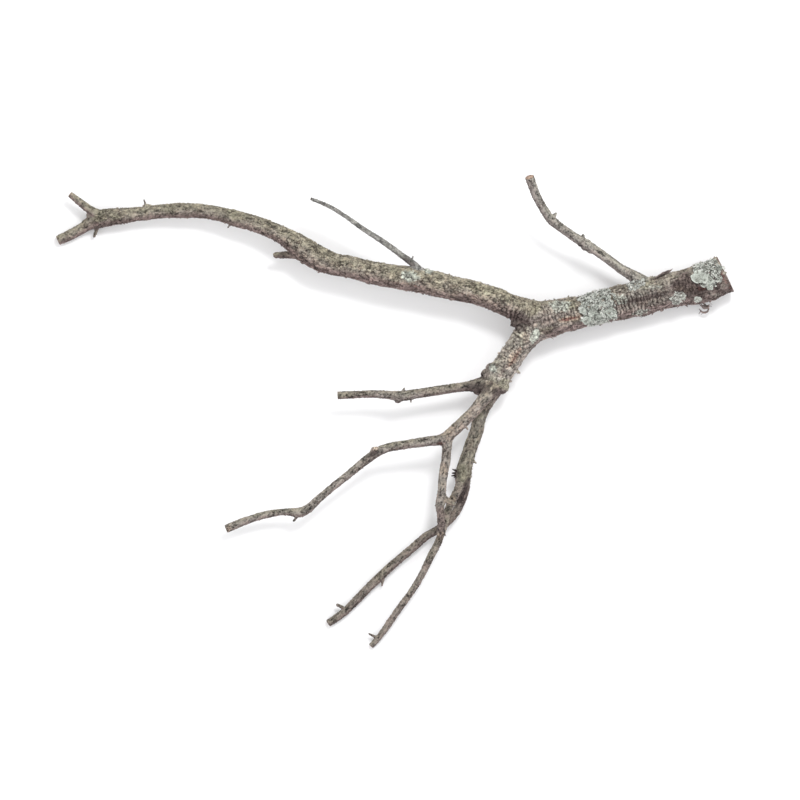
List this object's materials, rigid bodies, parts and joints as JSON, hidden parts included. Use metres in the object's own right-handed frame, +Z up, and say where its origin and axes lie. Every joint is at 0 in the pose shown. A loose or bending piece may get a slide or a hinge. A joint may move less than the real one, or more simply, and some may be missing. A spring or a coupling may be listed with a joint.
{
  "type": "fallen tree branch",
  "caption": "Forked, dry tree branch with leafy lichen on its thick butt end; a natural prop that lies flat on the ground.",
  "frame": {"origin": "middle of the branch's box seen from above, at the height of the surface that it lies on", "axes": "+X along the length from the tip prongs to the thick butt, +Y from the lower twigs towards the upper twig, +Z up"},
  "size_m": [0.6766, 0.4686, 0.0759],
  "materials": {
    "bark": "rough, fissured grey-brown bark",
    "twig_bark": "rough, finer grey-brown bark with lenticels",
    "pale_bark": "matt light grey bark",
    "loose_bark": "dark, brittle, curled bark",
    "lichen": "matt, pale green-grey, leafy lichen"
  },
  "bodies": {
    "root": {"trunk": "bark", "long_limb": "bark", "lower_limb": "bark", "middle_limb": "bark", "under_limb": "bark", "upper_twig": "twig_bark", "short_twig": "twig_bark", "left_twig": "twig_bark", "broken_twig": "twig_bark", "thin_twig": "twig_bark", "low_twig": "twig_bark", "grey_twig": "pale_bark", "bark_flap": "loose_bark", "bark_curl": "loose_bark", "lichen_collar": "lichen", "lichen_cap": "lichen", "lichen_saddle": "lichen", "lichen_tuft": "lichen"}
  },
  "joints": []
}
